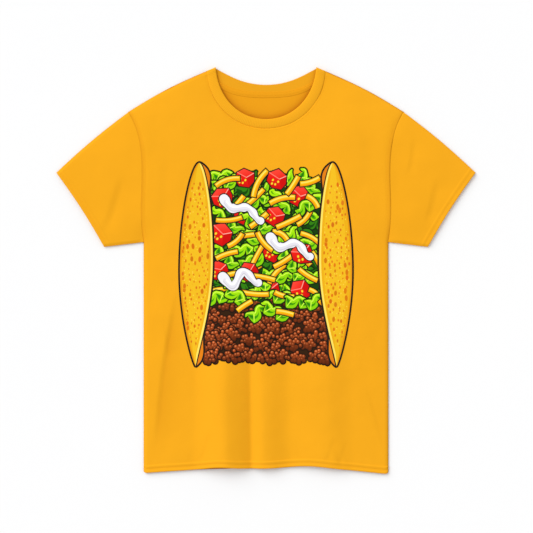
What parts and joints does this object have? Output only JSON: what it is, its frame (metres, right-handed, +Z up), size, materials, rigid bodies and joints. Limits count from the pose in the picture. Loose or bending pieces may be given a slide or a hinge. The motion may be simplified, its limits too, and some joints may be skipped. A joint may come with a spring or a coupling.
{
  "type": "t-shirt",
  "caption": "Short-sleeved crew-neck t-shirt lying on its back with the front up, with a rib collar, a soft rippled hem and a food print on the chest.",
  "frame": {"origin": "under the middle of the shirt, on the surface it lies on", "axes": "+X to the right as seen from above, +Y from the hem towards the neck, +Z up through the front"},
  "size_m": [0.755, 0.7307, 0.0213],
  "materials": {
    "jersey": "golden yellow cotton jersey, matt",
    "jersey_inside": "inside face of golden yellow cotton jersey, matt",
    "rib": "golden yellow cotton rib, matt",
    "print": "soft screen-print ink on the jersey, matt"
  },
  "bodies": {
    "root": {"back_panel": "jersey_inside", "front_panel": "jersey", "sleeve_left": "jersey", "sleeve_right": "jersey", "collar": "rib", "neck_tape": "jersey_inside"}
  },
  "joints": []
}
